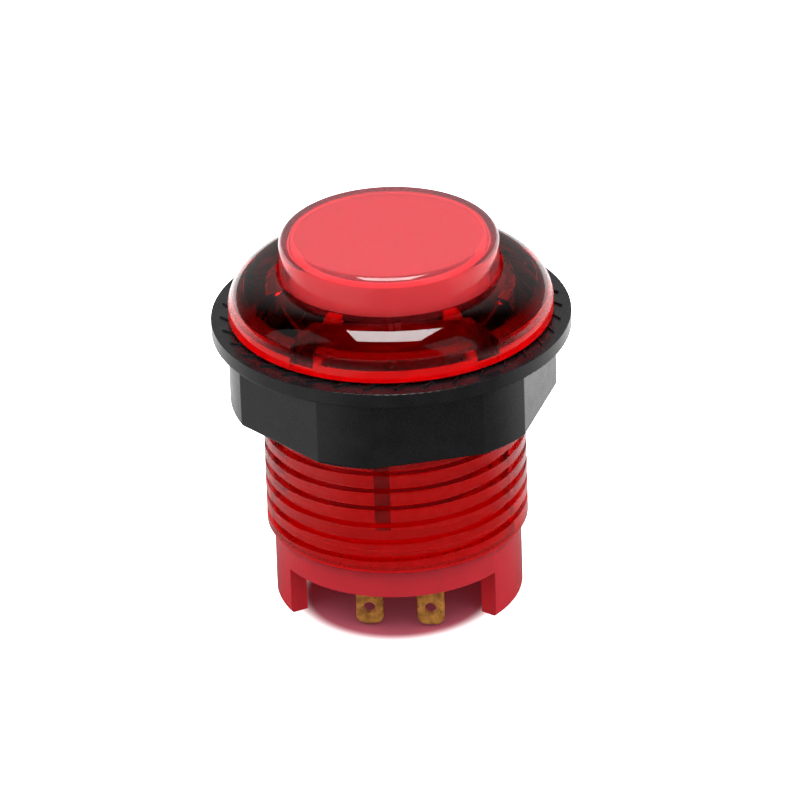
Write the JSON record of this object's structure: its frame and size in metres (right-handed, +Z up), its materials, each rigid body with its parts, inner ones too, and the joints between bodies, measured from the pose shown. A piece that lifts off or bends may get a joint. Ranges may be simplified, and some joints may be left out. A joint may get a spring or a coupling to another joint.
{
  "type": "quiz buzzer push button",
  "caption": "Round lit push button with a translucent red cap in a domed bezel, on a threaded barrel with a toothed lock ring and hexagonal nut, legs and flat tabs below.",
  "frame": {"origin": "on the plunger's axis, in the plane of the feet that the button stands on", "axes": "+Z up along the plunger's axis towards the cap; -Y is the front, where the two switch tabs are; +X to the right of the front"},
  "size_m": [0.0366, 0.0366, 0.0403],
  "materials": {
    "clear_red": "gloss",
    "cap_red": "gloss",
    "stem_red": "satin",
    "frosted_red": "satin",
    "white_diffuser": "satin",
    "lamp_epoxy": "gloss",
    "tab_brass": "satin",
    "spring_brass": "satin",
    "contact_silver": "satin",
    "lead_steel": "satin",
    "solder": "satin",
    "resistor_body": "satin",
    "spring_steel": "satin",
    "black_plastic": "satin"
  },
  "bodies": {
    "housing": {"threaded_housing": "clear_red", "terminal_base": "frosted_red", "switch_tab_left": "tab_brass", "switch_tab_right": "tab_brass", "lamp_tab_left": "tab_brass", "lamp_tab_right": "tab_brass", "fixed_contacts": "contact_silver", "lamp_holder": "black_plastic", "lamp": "lamp_epoxy", "lamp_leads": "lead_steel", "resistor": "resistor_body", "solder_joints": "solder", "return_spring": "spring_steel"},
    "plunger": {"button_cap": "cap_red", "cap_diffuser": "white_diffuser", "plunger_stem": "stem_red", "contact_bridge": "spring_brass", "contact_tips": "contact_silver", "bridge_spring": "spring_steel"},
    "lock_ring": {"lock_ring": "black_plastic"},
    "lock_nut": {"lock_nut": "black_plastic"}
  },
  "joints": [
    {"name": "plunger_press", "type": "slide", "parent": "housing", "child": "plunger", "axis": [0, 0, -1], "range_m": [0, 0.003], "stiffness_N_per_m": 200, "springref_m": -0.002, "deforming": ["return_spring"]},
    {"name": "ring_travel", "type": "slide", "parent": "housing", "child": "lock_ring", "axis": [0, 0, 1], "range_m": [-0.01176, 0]},
    {"name": "nut_turn", "type": "hinge", "parent": "lock_ring", "child": "lock_nut", "pos_m": [0, 0, 0.0257], "axis": [0, 0, 1], "range_deg": [-2161, 0]}
  ],
  "couplings": [
    {"joint": "nut_turn", "follows": "ring_travel", "rad_per_m": 3205.7}
  ]
}
